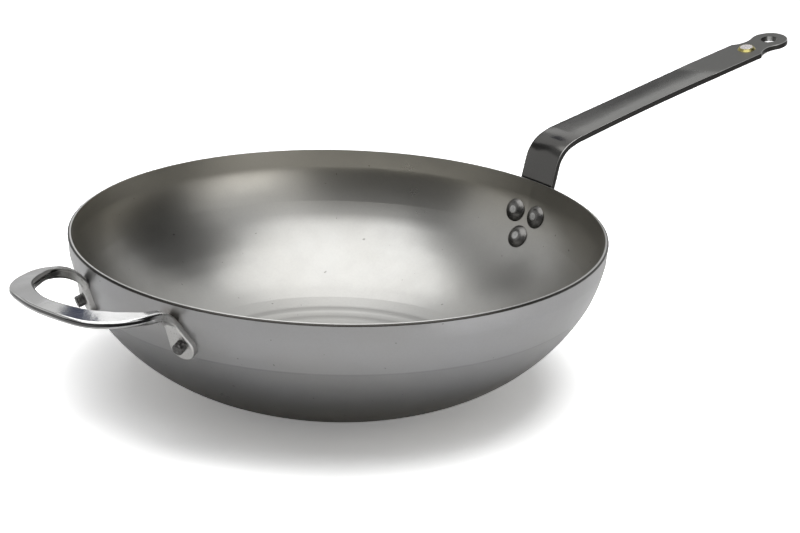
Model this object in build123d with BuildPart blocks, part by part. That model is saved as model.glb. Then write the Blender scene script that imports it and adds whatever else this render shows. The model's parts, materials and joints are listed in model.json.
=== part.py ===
# Carbon steel wok: a round pressed bowl with a riveted strap handle and a riveted cast helper handle.
# Millimetres, +Z up. The origin is the centre of the base's underside. The strap handle points along +X
# and the helper handle along -X, and the wok is symmetric about the XZ plane.
import os
from math import asin, cos, degrees, radians, sin, sqrt, tan

from build123d import *

# Bowl
rim_diameter = 320.0
bowl_height = 96.4
base_diameter = 124.0
wall_thickness = 2.0
lip_height = 11.0
lip_lean = 5.0
crease_drop = 32.9
crease_inset = 8.7
heel_height = 15.1
heel_inset = 59.0
shoulder_radius = 98.0
belly_radius = 121.0
heel_radius = 221.0
base_corner_radius = 12.0
rim_bevel_height = 1.2
rim_bevel_width = 0.8

# Strap handle, side view: it stands up off the wall, bends outward and then bows gently down
strap_thickness = 3.5
upright_slope = 75.0
upright_length = 26.6
bend_radius = 20.5
bend_end_slope = 24.0
ease_radius = 45.0
strap_slope = 10.4
bow_radius = 5500.0
strap_edge_radius = 0.5

# Strap handle, seen flat: places are measured back from the centre of the eye
eye_travel = 189.1
eye_radius = 12.2
hang_hole_diameter = 11.0
neck_centre_back = 11.8
neck_centre_side = 25.6
plate_width = 26.8
plate_back = 65.0
waist_width = 25.8
waist_back = 113.0
root_width = 27.6
root_back = 186.0
pad_corner_radius = 10.5
pad_flare_radius = 12.0
pad_bed_drop = 2.4

# Helper handle: a banked loop whose two legs bend down into feet against the wall
helper_reach = 52.7
helper_half_span = 47.8
helper_drop = 13.0
helper_width = 14.0
helper_thickness = 5.6
helper_bank = 14.0
helper_edge_share = 0.3
foot_thickness = 3.3
foot_bed = 2.0
foot_radius = 8.1
foot_shift = 0.4
foot_drop = 2.0
foot_top_radius = 4.6
foot_top_shift = 4.2
foot_top_rise = 9.5
foot_edge_radius = 0.8

# Rivets
rivet_hole_diameter = 6.4
rivet_clearance = 0.1
rivet_head_diameter = 14.4
rivet_head_height = 3.2
rivet_head_edge = 0.7
rivet_head_flat = 3.2
rivet_bed = 1.0
rivet_reach = 7.9
rivet_tail_diameter = 6.9
rivet_tail_radius = 0.9
upper_rivet_drop = 21.5
upper_rivet_spacing = 18.5
lower_rivet_drop = 35.9
helper_rivet_drop = 23.3
helper_rivet_spacing = 91.2

# Medallion in the strap
medallion_back = 22.1
medallion_diameter = 12.0
medallion_top_diameter = 9.6
medallion_height = 1.4
medallion_shank_diameter = 6.0
medallion_clearance = 0.05
disc_diameter = 8.2
disc_thickness = 0.8
disc_rise = 0.2

rim_radius = rim_diameter / 2
crease_height = bowl_height - crease_drop
upper_rivet_height = bowl_height - upper_rivet_drop
lower_rivet_height = bowl_height - lower_rivet_drop
helper_rivet_height = bowl_height - helper_rivet_drop
overrun = rim_diameter * 2

# Half of the helper handle from the middle of its grip to its foot, as shares of its reach, half span,
# drop, width, thickness and bank
helper_station_shares = [
    (1.011, 0.000, 0.041, 0.753, 0.941, 0.893),
    (0.981, 0.278, 0.042, 0.811, 0.946, 0.843),
    (0.888, 0.563, 0.095, 0.947, 0.963, 0.771),
    (0.719, 0.778, 0.157, 0.983, 0.974, 0.750),
    (0.531, 0.897, 0.182, 0.849, 0.963, 0.571),
    (0.359, 0.956, 0.217, 0.641, 1.007, 0.321),
    (0.228, 0.960, 0.270, 0.507, 1.073, 0.129),
    (0.131, 0.939, 0.331, 0.486, 1.071, 0.000),
    (0.027, 0.906, 0.492, 0.529, 0.982, 0.000),
    (-0.066, 0.879, 0.777, 0.614, 0.804, 0.000),
    (-0.116, 0.862, 1.146, 0.629, 0.536, 0.000),
]


def arc_centre(lower, upper, radius):
    """Centre of one of the arcs of the wall's outer line, which lies inside and above the arc."""
    chord = upper - lower
    inward = Vector(-chord.Y, chord.X).normalized()
    return (lower + upper) / 2 + inward * sqrt(radius**2 - (chord.length / 2) ** 2)


base_edge = Vector(base_diameter / 2, 0)
heel = Vector(rim_radius - heel_inset, heel_height)
crease = Vector(rim_radius - crease_inset, crease_height)
lip_top = Vector(rim_radius, bowl_height)
lip_foot = lip_top - Vector(lip_height * tan(radians(lip_lean)), lip_height)
belly_centre = arc_centre(heel, crease, belly_radius)
shoulder_centre = arc_centre(crease, lip_foot, shoulder_radius)


def wall_point(height):
    """Point of the wall's outer line at a height, and the outward normal there."""
    centre, radius = belly_centre, belly_radius
    if height > crease_height:
        centre, radius = shoulder_centre, shoulder_radius
    across = height - centre.Y
    point = Vector(centre.X + sqrt(radius**2 - across**2), height)
    return point, (point - centre).normalized()


def wall_seat(height, side, facing):
    """Plane on the wall's outside, z outward and y up, facing the strap (1) or the helper handle (-1)."""
    point, normal = wall_point(height)
    turn = asin(side / point.X)
    outward = Vector(facing * cos(turn), sin(turn))
    return Plane(
        origin=outward * point.X + Vector(0, 0, point.Y),
        x_dir=Vector(-outward.Y, outward.X),
        z_dir=outward * normal.X + Vector(0, 0, normal.Y),
    )


def side_plane(point, direction):
    """Plane square to the side view at one of its points, x along a direction and z to its left."""
    return Plane(
        origin=(point.X, 0, point.Y),
        x_dir=(direction.X, 0, direction.Y),
        z_dir=(-direction.Y, 0, direction.X),
    )


strap_seats = {
    "handle_rivet_left": wall_seat(upper_rivet_height, upper_rivet_spacing / 2, 1),
    "handle_rivet_right": wall_seat(upper_rivet_height, -upper_rivet_spacing / 2, 1),
    "handle_rivet_lower": wall_seat(lower_rivet_height, 0, 1),
}
helper_seats = {
    "helper_rivet_front": wall_seat(helper_rivet_height, -helper_rivet_spacing / 2, -1),
    "helper_rivet_back": wall_seat(helper_rivet_height, helper_rivet_spacing / 2, -1),
}

os.makedirs("parts", exist_ok=True)


def save(builder, name):
    """Label a finished piece and write it out."""
    builder.part.label = name
    export_step(builder.part, f"parts/{name}.step")


# The bowl's outside as a filled form, which the handles are bedded against
with BuildPart() as bowl_form:
    with BuildSketch(Plane.XZ) as outside:
        with BuildLine():
            Line((0, 0), base_edge)
            RadiusArc(base_edge, heel, -heel_radius)
            RadiusArc(heel, crease, -belly_radius)
            RadiusArc(crease, lip_foot, -shoulder_radius)
            Line(lip_foot, lip_top)
            Line(lip_top, (0, bowl_height))
            Line((0, bowl_height), (0, 0))
        make_face()
        fillet(outside.vertices().sort_by_distance(base_edge)[0], base_corner_radius)
    revolve(axis=Axis.Z)

# Bowl: one sheet of even thickness, its rim bevelled outside
with BuildPart() as bowl:
    add(bowl_form.part)
    offset(amount=-wall_thickness, openings=bowl.faces().sort_by(Axis.Z)[-1])
    rim_edge = bowl.edges().group_by(Axis.Z)[-1].sort_by(SortBy.LENGTH)[-1]
    chamfer(rim_edge, rim_bevel_width, rim_bevel_height)
    with BuildSketch(*strap_seats.values(), *helper_seats.values()):
        Circle(rivet_hole_diameter / 2)
    extrude(amount=rivet_reach, both=True, mode=Mode.SUBTRACT)
save(bowl, "bowl")

# Strap handle: a bent band cut to its two outlines and bedded on the wall, then edged and drilled
pad_foot = wall_point(lower_rivet_height - pad_corner_radius)[0]
slope = radians(upright_slope)
strap_leave = shoulder_centre + Vector(sin(slope), -cos(slope)) * shoulder_radius
bow_length = eye_travel + eye_radius + strap_thickness
with BuildLine() as strap_line:
    RadiusArc(pad_foot, crease, -belly_radius)
    RadiusArc(crease, strap_leave, -shoulder_radius)
    upright = PolarLine(strap_leave, upright_length, upright_slope)
    bend = JernArc(upright @ 1, upright % 1, bend_radius, bend_end_slope - upright_slope)
    ease = JernArc(bend @ 1, bend % 1, ease_radius, strap_slope - bend_end_slope)
    bow = JernArc(ease @ 1, ease % 1, bow_radius, -degrees(bow_length / bow_radius))
eye_share = eye_travel / bow_length
medallion_share = (eye_travel - medallion_back) / bow_length
eye_plane = side_plane(bow @ eye_share, bow % eye_share)
medallion_plane = side_plane(bow @ medallion_share, bow % medallion_share)
bed_rise = bowl_height - pad_bed_drop - strap_leave.Y
bed_top = upright @ (bed_rise / (upright_length * sin(slope)))
neck_span = sqrt(neck_centre_back**2 + neck_centre_side**2)
neck_radius = neck_span - eye_radius
neck_meet_back = neck_centre_back * eye_radius / neck_span
bed_foot = pad_foot - Vector(strap_thickness, 0)

with BuildPart() as long_handle:
    with BuildSketch(Plane.XZ):
        with BuildLine():
            add(strap_line.line)
            offset(amount=strap_thickness, side=Side.RIGHT)
        make_face()
        with BuildLine():
            Polyline(pad_foot, bed_foot, bed_top, strap_leave)
            RadiusArc(strap_leave, crease, shoulder_radius)
            RadiusArc(crease, pad_foot, belly_radius)
        make_face()
    extrude(amount=root_width, both=True)
    with BuildSketch(Plane.YZ) as pad_outline:
        with Locations(
            (upper_rivet_spacing / 2, upper_rivet_height),
            (-upper_rivet_spacing / 2, upper_rivet_height),
            (0, lower_rivet_height),
        ):
            Circle(pad_corner_radius)
        make_hull()
        with Locations((0, upper_rivet_height)):
            Rectangle(root_width, overrun, align=(Align.CENTER, Align.MIN))
        flares = pad_outline.vertices().filter_by(lambda v: upper_rivet_height < v.Y < rim_diameter)
        fillet(flares.sort_by(lambda v: abs(abs(v.X) - root_width / 2))[:2], pad_flare_radius)
    extrude(amount=overrun, mode=Mode.INTERSECT)
    with BuildSketch(eye_plane):
        with BuildLine():
            ThreePointArc(
                (-root_back, root_width / 2),
                (-waist_back, waist_width / 2),
                (-plate_back, plate_width / 2),
            )
            Line((-plate_back, plate_width / 2), (-neck_meet_back, plate_width / 2))
            Line((-neck_meet_back, plate_width / 2), (-neck_meet_back, 0))
            Line((-neck_meet_back, 0), (-overrun, 0))
            Line((-overrun, 0), (-overrun, root_width))
            Line((-overrun, root_width), (-root_back, root_width))
            Line((-root_back, root_width), (-root_back, root_width / 2))
        make_face()
        with Locations((-neck_centre_back, neck_centre_side)):
            Circle(neck_radius, mode=Mode.SUBTRACT)
        mirror(about=Plane.XZ)
        Circle(eye_radius)
    extrude(amount=overrun, both=True, mode=Mode.INTERSECT)
    add(bowl_form.part, mode=Mode.SUBTRACT)
    outline = long_handle.edges().filter_by(GeomType.LINE, reverse=True)
    outline += long_handle.edges().filter_by(Axis((0, 0, 0), side_plane(upright @ 0, upright % 0).x_dir))
    free = outline.filter_by(lambda edge: bowl_form.part.distance_to(edge.center()) > strap_edge_radius)
    fillet(free, strap_edge_radius)
    with BuildSketch(eye_plane):
        Circle(hang_hole_diameter / 2)
    with BuildSketch(medallion_plane):
        Circle(medallion_shank_diameter / 2 + medallion_clearance)
    with BuildSketch(*strap_seats.values()):
        Circle(rivet_hole_diameter / 2)
    extrude(amount=rivet_reach, both=True, mode=Mode.SUBTRACT)
save(long_handle, "long_handle")

# Helper handle: a cast loop drawn through its stations, and a foot bedded on the wall at each end
half = [
    (
        Vector(-rim_radius - out * helper_reach, side * helper_half_span, bowl_height - fall * helper_drop),
        across * helper_width,
        deep * helper_thickness,
        bank * helper_bank,
    )
    for out, side, fall, across, deep, bank in helper_station_shares
]
front_half = [(Vector(place.X, -place.Y, place.Z), *rest) for place, *rest in reversed(half[1:])]
stations = front_half + half
places = [station[0] for station in stations]
headings = [after - before for before, after in zip(places[:1] + places, places[1:] + places[-1:])]

back_seat = helper_seats["helper_rivet_back"]
with BuildPart() as back_foot:
    with BuildSketch(back_seat.offset(-foot_bed)):
        with Locations((foot_shift, -foot_drop)):
            Circle(foot_radius)
        with Locations((foot_top_shift, foot_top_rise)):
            Circle(foot_top_radius)
        make_hull()
    extrude(amount=foot_bed + foot_thickness)
    outer_face = back_foot.faces().sort_by(Axis(back_seat.origin, back_seat.z_dir))[-1]
    fillet(outer_face.edges(), foot_edge_radius)

with BuildPart() as helper_handle:
    for (place, across, deep, bank), heading in zip(stations, headings):
        inward = Vector(heading.Y, -heading.X, 0)
        rise = across / 2 * tan(radians(bank))
        with BuildSketch(Plane(origin=place, x_dir=inward, z_dir=-heading)) as section:
            Polygon(
                (-across / 2, -deep / 2),
                (across / 2, -deep / 2),
                (across / 2, deep / 2 + rise),
                (-across / 2, deep / 2 - rise),
                align=None,
            )
            fillet(section.vertices(), helper_edge_share * deep)
    loft()
    add(back_foot.part)
    mirror(back_foot.part, about=Plane.XZ)
    add(bowl_form.part, mode=Mode.SUBTRACT)
    with BuildSketch(*helper_seats.values()):
        Circle(rivet_hole_diameter / 2)
    extrude(amount=rivet_reach, both=True, mode=Mode.SUBTRACT)
save(helper_handle, "helper_handle")

# Rivets: a domed head inside the bowl and a short hammered tail outside, both bedded on what they clamp
head_base = -wall_thickness
head_top = head_base - rivet_head_height
head_edge = (rivet_head_diameter / 2, head_base - rivet_head_edge)
shank_radius = rivet_hole_diameter / 2 - rivet_clearance
tail_radius = rivet_tail_diameter / 2
clamped = [(name, seat, long_handle, strap_thickness) for name, seat in strap_seats.items()]
clamped += [(name, seat, helper_handle, foot_thickness) for name, seat in helper_seats.items()]
for name, seat, held, held_thickness in clamped:
    with BuildPart() as rivet:
        with BuildSketch(Plane(origin=seat.origin, x_dir=seat.x_dir, z_dir=-seat.y_dir)):
            with BuildLine():
                Polyline(
                    head_edge,
                    (rivet_head_diameter / 2, head_base + rivet_bed),
                    (shank_radius, head_base + rivet_bed),
                    (shank_radius, held_thickness - rivet_bed),
                    (tail_radius, held_thickness - rivet_bed),
                    (tail_radius, rivet_reach),
                    (0, rivet_reach),
                    (0, head_top),
                    (rivet_head_flat / 2, head_top),
                )
                TangentArc((rivet_head_flat / 2, head_top), head_edge, tangent=(1, 0))
            make_face()
        revolve(axis=Axis(seat.origin, seat.z_dir))
        fillet(rivet.edges().sort_by(Axis(seat.origin, seat.z_dir))[-1], rivet_tail_radius)
        add(bowl.part, mode=Mode.SUBTRACT)
        add(held.part, mode=Mode.SUBTRACT)
    save(rivet, name)

# Medallion: a stud pressed into the strap with a disc let into its top
disc_base = medallion_height + disc_rise - disc_thickness
with BuildPart(medallion_plane) as medallion_stud:
    Cone(
        medallion_diameter / 2,
        medallion_top_diameter / 2,
        medallion_height,
        align=(Align.CENTER, Align.CENTER, Align.MIN),
    )
    Cylinder(
        medallion_shank_diameter / 2,
        strap_thickness,
        align=(Align.CENTER, Align.CENTER, Align.MAX),
    )
    with Locations((0, 0, disc_base)):
        Cylinder(
            disc_diameter / 2 + medallion_clearance,
            medallion_height,
            align=(Align.CENTER, Align.CENTER, Align.MIN),
            mode=Mode.SUBTRACT,
        )
save(medallion_stud, "medallion_stud")

with BuildPart(medallion_plane) as medallion_disc:
    with Locations((0, 0, disc_base)):
        Cylinder(disc_diameter / 2, disc_thickness, align=(Align.CENTER, Align.CENTER, Align.MIN))
    top_edge = medallion_disc.edges().sort_by(Axis(medallion_plane.origin, medallion_plane.z_dir))[-1]
    fillet(top_edge, disc_rise / 2)
save(medallion_disc, "medallion_disc")
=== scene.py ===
from math import cos, pi, radians, sin

import bpy
from mathutils import Matrix, Vector
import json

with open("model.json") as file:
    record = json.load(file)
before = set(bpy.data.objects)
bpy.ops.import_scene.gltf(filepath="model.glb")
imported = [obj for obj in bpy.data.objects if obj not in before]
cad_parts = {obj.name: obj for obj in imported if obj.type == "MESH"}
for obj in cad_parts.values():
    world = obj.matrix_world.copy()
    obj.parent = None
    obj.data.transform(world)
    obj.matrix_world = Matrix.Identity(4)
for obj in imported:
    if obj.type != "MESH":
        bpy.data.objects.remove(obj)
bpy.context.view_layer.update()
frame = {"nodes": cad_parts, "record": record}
nodes = frame["nodes"]
scene = bpy.context.scene

# Lengths are in metres and angles in degrees, unless a name or a note says otherwise
bowl_mesh = nodes["bowl"]
bowl_top = max((bowl_mesh.matrix_world @ vertex.co).z for vertex in bowl_mesh.data.vertices)


class Shader:
    """A material's node tree with short ways to add its nodes."""

    def __init__(self, name):
        self.material = bpy.data.materials.new(name)
        self.material.use_nodes = True
        self.tree = self.material.node_tree
        self.surface = self.tree.nodes["Principled BSDF"]
        self.place = self.tree.nodes.new("ShaderNodeTexCoord").outputs["Object"]
        self.normal = self.tree.nodes.new("ShaderNodeNewGeometry").outputs["Normal"]

    def put(self, value, socket):
        """Link a socket to another one, or set its value."""
        if isinstance(value, bpy.types.NodeSocket):
            self.tree.links.new(value, socket)
        elif socket.type == "RGBA" and len(value) == 3:
            socket.default_value = (*value, 1)
        else:
            socket.default_value = value

    def add(self, kind, inputs, **settings):
        """A new node with its settings made and its inputs filled."""
        node = self.tree.nodes.new(kind)
        for key, value in settings.items():
            setattr(node, key, value)
        for key, value in inputs.items():
            self.put(value, node.inputs[key])
        return node

    def math(self, operation, *values):
        return self.add("ShaderNodeMath", dict(enumerate(values)), operation=operation).outputs[0]

    def times(self, first, *others):
        for other in others:
            first = self.math("MULTIPLY", first, other)
        return first

    def plus(self, first, *others):
        for other in others:
            first = self.math("ADD", first, other)
        return first

    def minus(self, first, second):
        return self.math("SUBTRACT", first, second)

    def size(self, value):
        """A value without its sign."""
        return self.math("ABSOLUTE", value)

    def across(self, x, y):
        """Distance from the bowl's axis."""
        return self.math("SQRT", self.plus(self.times(x, x), self.times(y, y)))

    def split(self, vector):
        return self.add("ShaderNodeSeparateXYZ", {0: vector}).outputs

    def measure(self, operation, first, second):
        node = self.add("ShaderNodeVectorMath", {0: first, 1: second}, operation=operation)
        return node.outputs["Value"]

    def facing(self, direction):
        """How far the surface faces a direction, 1 where it faces straight at it."""
        return self.measure("DOT_PRODUCT", self.normal, direction)

    def away(self, centre):
        """Distance from a place on the object."""
        return self.measure("DISTANCE", self.place, centre)

    def noise(self, scale, detail, roughness, stretch=None):
        place = self.place
        if stretch is not None:
            place = self.add("ShaderNodeMapping", {"Vector": place, "Scale": stretch}).outputs[0]
        inputs = {"Vector": place, "Scale": scale, "Detail": detail, "Roughness": roughness}
        return self.add("ShaderNodeTexNoise", inputs).outputs[0]

    def step(self, value, low, high, to_low=0.0, to_high=1.0):
        """A smooth step from to_low at low to to_high at high."""
        names = ("Value", "From Min", "From Max", "To Min", "To Max")
        inputs = dict(zip(names, (value, low, high, to_low, to_high)))
        return self.add("ShaderNodeMapRange", inputs, interpolation_type="SMOOTHSTEP").outputs[0]

    def fade(self, value, low, high):
        """A smooth step from 1 at low to 0 at high."""
        return self.step(value, low, high, 1.0, 0.0)

    def mix(self, share, first, second):
        """The first colour, with a share of the second mixed in."""
        inputs = {"Factor": share, 6: first, 7: second}
        return self.add("ShaderNodeMix", inputs, data_type="RGBA").outputs[2]

    def ease_below(self, z, level, reach, turn):
        """Height that turns the surface by an angle in radians at a level, and dies out below it."""
        down = self.math("MAXIMUM", self.minus(level, z), 0.0)
        return self.times(self.math("EXPONENT", self.math("DIVIDE", down, -reach)), turn * reach)

    def ease_both(self, z, level, reach, turn):
        """As ease_below, with half of the turn made on each side of the level."""
        up = self.math("MAXIMUM", self.minus(z, level), 0.0)
        fall = self.minus(self.math("EXPONENT", self.math("DIVIDE", up, -reach)), 1.0)
        return self.plus(self.ease_below(z, level, reach, turn / 2), self.times(fall, turn / 2 * reach))

    def bump(self, height, strength, distance, after=None):
        inputs = {"Height": height, "Strength": strength, "Distance": distance}
        if after is not None:
            inputs["Normal"] = after
        return self.add("ShaderNodeBump", inputs).outputs[0]

    def finish(self, colour, roughness, normal=None, metallic=1.0):
        self.put(colour, self.surface.inputs["Base Color"])
        self.put(roughness, self.surface.inputs["Roughness"])
        self.put(metallic, self.surface.inputs["Metallic"])
        if normal is not None:
            self.put(normal, self.surface.inputs["Normal"])
        return self.material


def bowl_colour(s, z, outside, cloud, mottle):
    """Satin steel, browner towards the base outside, with specks, and painted shade in two dark patches on
    the outer wall by the handle's feet.
    """
    shade_patches_by_feet = (((-0.1525, -0.0395, 0.086), 0.011), ((-0.150, 0.058, 0.080), 0.012))
    grain = s.noise(700, 3, 0.6)
    specks = s.step(s.noise(420, 0, 0.5), 0.86, 0.875)
    inner = s.mix(s.step(z, 0.05, 0.09), (0.375, 0.373, 0.362), (0.345, 0.33, 0.292))
    outer = s.mix(s.step(z, 0.008, 0.05), (0.325, 0.312, 0.28), (0.315, 0.315, 0.32))
    colour = s.mix(outside, inner, outer)
    colour = s.mix(s.step(cloud, 0.35, 0.7, 0.0, 0.2), colour, (0.30, 0.285, 0.25))
    colour = s.mix(s.step(mottle, 0.3, 0.75, 0.0, 0.12), colour, (0.27, 0.268, 0.26))
    colour = s.mix(s.step(grain, 0.3, 0.8, 0.0, 0.1), colour, (0.22, 0.22, 0.22))
    colour = s.mix(s.times(specks, 0.45), colour, (0.05, 0.045, 0.04))
    # Painted shade: dark patches on the outer wall where the handle's legs shade it
    for centre, reach in shade_patches_by_feet:
        painted_leg_shade = s.times(s.step(s.away(centre), reach * 0.2, reach, 0.6, 0.0), outside)
        colour = s.mix(s.times(painted_leg_shade, s.step(mottle, 0.3, 0.6)), colour, (0.13, 0.105, 0.085))
    return colour


def bowl_material():
    """Bare steel with ring marks near the base, a painted line of shade along the outer crease, and a painted
    dark reflection and a painted highlight at the rim.
    """
    ring_radius, ring_pitch, ring_depth = 0.0887, 0.0074, 0.00004
    inner_crease, outer_crease = bowl_top - 0.03197, bowl_top - 0.0329
    inner_lip, outer_lip = bowl_top - 0.01069, bowl_top - 0.011
    inside_height = 0.12

    s = Shader("bowl_steel")
    x, y, z = s.split(s.place)
    radius = s.across(x, y)
    nx, ny, nz = s.split(s.normal)
    outward = s.plus(s.times(nx, x), s.times(ny, y), s.times(nz, s.minus(z, inside_height)))
    outside = s.step(outward, -0.002, 0.002)
    inside = s.minus(1.0, outside)
    cloud = s.noise(11, 4, 0.6)
    mottle = s.noise(70, 4, 0.65)
    colour = bowl_colour(s, z, outside, cloud, mottle)

    turned = s.math("SINE", s.times(s.minus(radius, ring_radius), 2 * pi / ring_pitch))
    heel = s.times(s.step(radius, 0.078, 0.084), s.fade(radius, 0.091, 0.095), inside)
    colour = s.mix(s.times(heel, s.step(turned, -0.6, 0.9, 0.0, 0.3)), colour, (0.1, 0.1, 0.095))
    # Painted shade: a thin dark line along the outer crease
    crease_shade_line = s.step(s.size(s.minus(z, outer_crease)), 0.0002, 0.0009, 0.2, 0.0)
    colour = s.mix(s.times(crease_shade_line, outside), colour, (0.08, 0.08, 0.08))
    # Painted reflection: a dark band along the rim's outer edge
    rim_edge_dark_reflection = s.times(s.step(z, bowl_top - 0.0015, bowl_top - 0.0012), s.step(radius, 0.1588, 0.1592))
    colour = s.mix(rim_edge_dark_reflection, colour, (0.04, 0.038, 0.035))
    # Painted highlight: a light line on the rim's flat top
    rim_top_highlight = s.step(z, bowl_top - 0.0001, bowl_top - 0.00005)
    colour = s.mix(rim_top_highlight, colour, (0.6, 0.6, 0.58))

    roughness = s.plus(s.step(cloud, 0.3, 0.7, 0.27, 0.31), s.step(mottle, 0.3, 0.7, 0.0, 0.018))
    inner_ease = s.plus(s.ease_below(z, inner_lip, 0.003, 0.14), s.ease_both(z, inner_crease, 0.008, 0.092))
    outer_ease = s.ease_both(z, outer_lip, 0.003, -0.1335)
    normal = s.bump(s.plus(s.times(inner_ease, inside), s.times(outer_ease, outside)), 1.0, 1.0)
    normal = s.bump(s.times(heel, turned), 1.0, ring_depth, after=normal)
    return s.finish(colour, roughness, normal)


def strap_material():
    """Dark lacquered steel with painted highlights along the arrises, painted dark reflections on the upright
    and the edge faces, and a duller plate.
    """
    crown_curve = -5.0

    s = Shader("strap_steel")
    x, y, z = s.split(s.place)
    cloud = s.noise(30, 4, 0.6)
    grain = s.noise(900, 3, 0.6)
    streak = s.noise(60, 3, 0.6, stretch=(0.25, 6, 6))
    plate = s.step(s.plus(x, s.times(y, 0.3)), 0.298, 0.312)
    upright = s.fade(x, 0.182, 0.196)
    side = s.size(s.facing((0, 1, 0)))
    arris_highlight = s.times(s.step(side, 0.2, 0.4), s.fade(side, 0.75, 0.85))
    colour = s.mix(s.step(cloud, 0.3, 0.7), (0.108, 0.109, 0.105), (0.13, 0.129, 0.124))
    colour = s.mix(s.step(streak, 0.45, 0.8, 0.0, 0.3), colour, (0.16, 0.158, 0.153))
    # Painted reflection: the upright is darker
    colour = s.mix(s.times(upright, 0.8), colour, (0.085, 0.083, 0.08))
    colour = s.mix(plate, colour, (0.105, 0.105, 0.1))
    # Painted reflection: the edge faces are near black
    colour = s.mix(s.step(side, 0.8, 0.95), colour, (0.035, 0.034, 0.032))
    # Painted highlight: light lines along the arrises
    colour = s.mix(s.times(arris_highlight, 0.8), colour, (0.5, 0.5, 0.49))
    satin = s.plus(s.step(cloud, 0.3, 0.7, 0.13, 0.17), s.step(grain, 0.2, 0.8, 0.0, 0.03))
    roughness = s.plus(satin, s.times(plate, 0.2))
    crown = s.times(y, y, s.minus(1.0, plate), crown_curve)
    normal = s.bump(grain, 0.08, 0.0002, after=s.bump(crown, 1.0, 1.0))
    return s.finish(colour, roughness, normal)


def cast_material():
    """Polished cast steel with satin pitted feet, painted shade on the loop's inner faces and a painted dark
    reflection in a line along its rounded side.
    """
    loop_middle = -0.178
    grip_height, leg_height = 0.0959, 0.0939
    side_curve = -130.0

    s = Shader("cast_steel")
    x, y, z = s.split(s.place)
    nx, ny, nz = s.split(s.normal)
    cloud = s.noise(40, 3, 0.5)
    grain = s.noise(1300, 3, 0.6)
    pits = s.step(s.noise(900, 2, 0.5), 0.62, 0.72)
    foot = s.step(x, -0.172, -0.162)
    colour = s.mix(s.step(cloud, 0.3, 0.7), (0.60, 0.60, 0.60), (0.52, 0.52, 0.515))
    colour = s.mix(s.times(foot, 0.5), colour, (0.45, 0.44, 0.42))
    colour = s.mix(s.times(pits, foot, 0.5), colour, (0.15, 0.14, 0.13))

    # Painted shade: the loop's inner faces are dark
    inward = s.minus(s.times(nx, s.minus(loop_middle, x)), s.times(ny, y))
    inner = s.times(s.step(inward, 0.004, 0.014), s.fade(x, -0.166, -0.156))
    colour = s.mix(s.times(inner, 0.92), colour, (0.08, 0.078, 0.072))
    # Painted reflection: a dark line along the loop's rounded outer side
    outer = s.times(s.fade(inward, -0.012, -0.004), s.fade(x, -0.176, -0.168))
    off = s.minus(z, s.step(s.size(y), 0.013, 0.043, grip_height, leg_height))
    side = s.fade(s.size(nz), 0.3, 0.7)
    side_reflection_line = s.times(s.step(off, -0.0012, -0.0006), s.fade(off, 0.0007, 0.0013), outer, side)
    colour = s.mix(s.times(side_reflection_line, s.step(x, -0.215, -0.195, 0.8, 1.0)), colour, (0.01, 0.01, 0.01))

    roughness = s.plus(s.step(cloud, 0.3, 0.7, 0.08, 0.14), s.times(foot, 0.22))
    round_side = s.times(off, off, side, side_curve, s.fade(x, -0.178, -0.170))
    normal = s.bump(s.noise(70, 3, 0.5), 0.10, 0.001, after=s.bump(round_side, 1.0, 1.0))
    normal = s.bump(grain, s.times(foot, 0.15), 0.0003, after=normal)
    return s.finish(colour, roughness, normal)


def rivet_material(name, axis):
    """A forged rivet whose axis points out of the bowl: a dark dome with a painted highlight on its top, and
    a hammered tail.
    """
    s = Shader(name)
    x, y, z = s.split(s.place)
    cloud = s.noise(140, 3, 0.6)
    grain = s.noise(1400, 3, 0.6)
    dents = s.add("ShaderNodeTexVoronoi", {"Vector": s.place, "Scale": 330}).outputs["Distance"]
    tail = s.step(s.minus(s.across(x, y), s.times(z, 0.45)), 0.1205, 0.1215)
    # Painted highlight: a light spot on the top of the dome
    dome_top_highlight = s.times(s.fade(s.facing(axis), -0.9995, -0.988), s.step(cloud, 0.35, 0.65, 0.5, 0.9))
    colour = s.mix(s.step(cloud, 0.3, 0.7), (0.11, 0.108, 0.104), (0.16, 0.157, 0.152))
    colour = s.mix(dome_top_highlight, colour, (0.5, 0.5, 0.49))
    colour = s.mix(tail, colour, (0.11, 0.108, 0.105))
    roughness = s.plus(s.step(cloud, 0.3, 0.7, 0.22, 0.32), s.step(grain, 0.2, 0.8, 0.0, 0.06))
    normal = s.bump(grain, 0.15, 0.0002, after=s.bump(dents, s.times(tail, 0.7), 0.0012))
    return s.finish(colour, roughness, normal)


def small_metal(name, cloud_scale, first, second, smoothest, roughest):
    """The plain metal of a small turned piece, clouded between two colours."""
    s = Shader(name)
    cloud = s.noise(cloud_scale, 3, 0.6)
    grain = s.noise(2600, 3, 0.6)
    colour = s.mix(s.step(cloud, 0.3, 0.7), first, second)
    roughness = s.step(grain, 0.2, 0.8, smoothest, roughest)
    return s.finish(colour, roughness, s.bump(grain, 0.1, 0.0001))


def tail_direction(node):
    """Direction of a rivet's axis out of the bowl: its flat tail end is the largest flat on it."""
    turn = node.matrix_world.to_3x3()
    flats = {}
    for face in node.data.polygons:
        normal = (turn @ face.normal).normalized()
        key = tuple(round(value, 2) for value in normal)
        flats[key] = flats.get(key, Vector((0, 0, 0))) + normal * face.area
    return max(flats.values(), key=lambda flat: flat.length).normalized()


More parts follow.
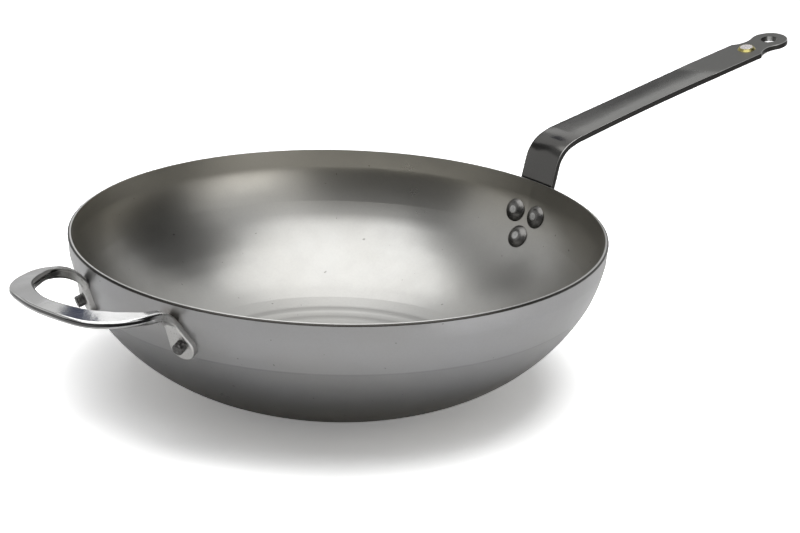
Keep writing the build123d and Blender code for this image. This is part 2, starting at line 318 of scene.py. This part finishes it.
materials = {
    "bowl_steel": bowl_material(),
    "strap_steel": strap_material(),
    "cast_steel": cast_material(),
    "brass": small_metal("brass", 300, (0.34, 0.30, 0.11), (0.42, 0.37, 0.16), 0.22, 0.32),
    # Painted highlight: the disc's near-white colour stands in for the glint on the medallion's brass face
    "disc_metal": small_metal("disc_metal", 400, (0.92, 0.88, 0.88), (0.8, 0.76, 0.76), 0.18, 0.28),
}
slots = {entry["node"]: entry["material_slot"] for entry in frame["record"]["subparts"]}
for name, node in nodes.items():
    node.data.materials.clear()
    if slots[name] == "rivet_steel":
        node.data.materials.append(rivet_material(name, tail_direction(node)))
    else:
        node.data.materials.append(materials[slots[name]])


def show(name, data):
    """Put a lamp, a mesh or a camera into the scene."""
    holder = bpy.data.objects.new(name, data)
    scene.collection.objects.link(holder)
    return holder


def toward(azimuth, elevation, distance):
    """A place in a direction from the object: azimuth 0 is +Y and 90 is +X."""
    across, rise = radians(azimuth), radians(elevation)
    return Vector((sin(across) * cos(rise), cos(across) * cos(rise), sin(rise))) * distance


def lamp(name, place, look_at, side, radiance):
    """A soft square light of even brightness that the camera doesn't see."""
    light = bpy.data.lights.new(name, "AREA")
    light.shape = "RECTANGLE"
    light.size = side
    light.size_y = side
    light.energy = radiance * pi * side * side
    holder = show(name, light)
    holder.location = place
    holder.rotation_euler = (Vector(look_at) - Vector(place)).to_track_quat("-Z", "Y").to_euler()
    holder.visible_camera = False
    return holder


def glow(name, points, faces, colour):
    """A shining sheet that shows in reflections only."""
    mesh = bpy.data.meshes.new(name)
    mesh.from_pydata(points, [], faces)
    material = bpy.data.materials.new(name)
    material.use_nodes = True
    tree = material.node_tree
    light = tree.nodes.new("ShaderNodeEmission")
    light.inputs["Color"].default_value = (*colour, 1)
    tree.links.new(light.outputs[0], tree.nodes["Material Output"].inputs["Surface"])
    mesh.materials.append(material)
    holder = show(name, mesh)
    holder.visible_camera = False
    holder.visible_diffuse = False
    holder.visible_shadow = False


def card(name, azimuths, elevations, colour, distance):
    """A curved studio card that faces the object."""
    columns = range(azimuths[0], azimuths[1] + 1, 2)
    rows = range(elevations[0], elevations[1] + 1, 2)
    points = [toward(azimuth, elevation, distance) for elevation in rows for azimuth in columns]
    width = len(columns)
    faces = [
        (k, k + 1, k + 1 + width, k + width)
        for row in range(len(rows) - 1)
        for k in range(row * width, row * width + width - 1)
    ]
    glow(name, points, faces, colour)


# The ceiling is turned square to the camera, and the fill lights only the floor beside the object
camera_azimuth = 41.7
ceiling = lamp("ceiling", (-0.135, -0.14, 1.3), (-0.135, -0.14, 0), 1.45, 1.62)
ceiling.rotation_euler.z = radians(-camera_azimuth)
fill = lamp("floor_fill", (0.06, -0.22, 1.2), (-0.02, -0.02, 0), 0.9, 3.5)
fill.visible_glossy = False

# Grey cards: their azimuths, elevations, brightness and distance
grey_cards = {
    "front": ((150, 204), (0, 40), 0.95, 2.8),
    "front_high": ((150, 204), (40, 54), 0.7, 2.8),
    "front_window": ((162, 194), (0, 26), 2.1, 2.7),
    "camera_side": ((-156, -76), (-2, 42), 0.16, 2.8),
    "camera_side_high": ((-156, -76), (42, 52), 0.28, 2.8),
    "right_side": ((96, 148), (7, 56), 0.03, 2.8),
    "left_side": ((-76, -10), (0, 40), 0.86, 2.8),
    "left_side_high": ((-76, -10), (40, 56), 0.42, 2.8),
    "left_dim": ((-28, -8), (28, 46), 0.15, 2.7),
    "behind_low": ((-10, 98), (0, 36), 0.62, 2.8),
    "behind_right": ((70, 94), (8, 34), 0.9, 2.75),
    "behind_dim": ((34, 54), (-2, 29), 0.3, 2.75),
    "behind_high": ((45, 62), (32, 56), 1.5, 2.7),
    "behind_window": ((31, 45), (34, 56), 1.5, 2.65),
    "behind_low_window": ((30, 40), (25, 35), 1.4, 2.65),
}
for name, (azimuths, elevations, brightness, distance) in grey_cards.items():
    card(name, azimuths, elevations, (brightness,) * 3, distance)
card("blue_gap", (22, 32), (40, 50), (0.04, 0.05, 0.1), 2.6)

low_x, high_x, low_y, high_y, lift = -0.05, 0.46, -0.72, -0.3, 0.003
floor_light = [(low_x, low_y, lift), (high_x, low_y, lift), (high_x, high_y, lift), (low_x, high_y, lift)]
glow("floor_light", floor_light, [(0, 1, 2, 3)], (1.45, 1.45, 1.45))

# The world lights softly, and is white where the camera or a reflection sees it
world = bpy.data.worlds.new("studio")
scene.world = world
world.use_nodes = True
tree = world.node_tree
background = tree.nodes["Background"]
background.inputs["Color"].default_value = (0.25, 0.25, 0.25, 1)
white = tree.nodes.new("ShaderNodeBackground")
white.inputs["Color"].default_value = (1, 1, 1, 1)
rays = tree.nodes.new("ShaderNodeLightPath")
seen = tree.nodes.new("ShaderNodeMath")
seen.operation = "MAXIMUM"
chosen = tree.nodes.new("ShaderNodeMixShader")
tree.links.new(rays.outputs["Is Camera Ray"], seen.inputs[0])
tree.links.new(rays.outputs["Is Glossy Ray"], seen.inputs[1])
tree.links.new(seen.outputs[0], chosen.inputs[0])
tree.links.new(background.outputs[0], chosen.inputs[1])
tree.links.new(white.outputs[0], chosen.inputs[2])
tree.links.new(chosen.outputs[0], tree.nodes["World Output"].inputs["Surface"])

# The floor is plain and pale. What the camera sees of it is lifted to white, and it keeps the shadow
half = 6.0
floor_mesh = bpy.data.meshes.new("floor")
floor_corners = [(-half, -half, 0), (half, -half, 0), (half, half, 0), (-half, half, 0)]
floor_mesh.from_pydata(floor_corners, [], [(0, 1, 2, 3)])
floor = show("floor", floor_mesh)
s = Shader("floor")
to_camera = s.tree.nodes.new("ShaderNodeLightPath").outputs["Is Camera Ray"]
shade = s.mix(to_camera, (0.84, 0.84, 0.84), (1.6, 1.6, 1.6))
floor_mesh.materials.append(s.finish(shade, 0.9, metallic=0.0))
s.put(0.0, s.surface.inputs["Specular IOR Level"])
s.put((1, 1, 1), s.surface.inputs["Emission Color"])
s.put(s.times(to_camera, 0.2), s.surface.inputs["Emission Strength"])

# The camera, fitted to the photo
lens = bpy.data.cameras.new("camera")
lens.sensor_width = 36
lens.lens = 128.7
lens.shift_x = -0.0004
lens.shift_y = -0.0006
lens.clip_start = 0.01
lens.clip_end = 50
camera = show("camera", lens)
scene.camera = camera
camera_place = Vector((-1.03955, -1.22373, 0.64393))
forward = Vector((0.62658, 0.70397, -0.33440)).normalized()
right = Vector((0.7532, -0.6572, 0.0278))
right = (right - forward * right.dot(forward)).normalized()
up = right.cross(forward)
turn = Matrix((right, up, -forward)).transposed()
camera.matrix_world = Matrix.Translation(camera_place) @ turn.to_4x4()
scene.view_settings.view_transform = "Standard"
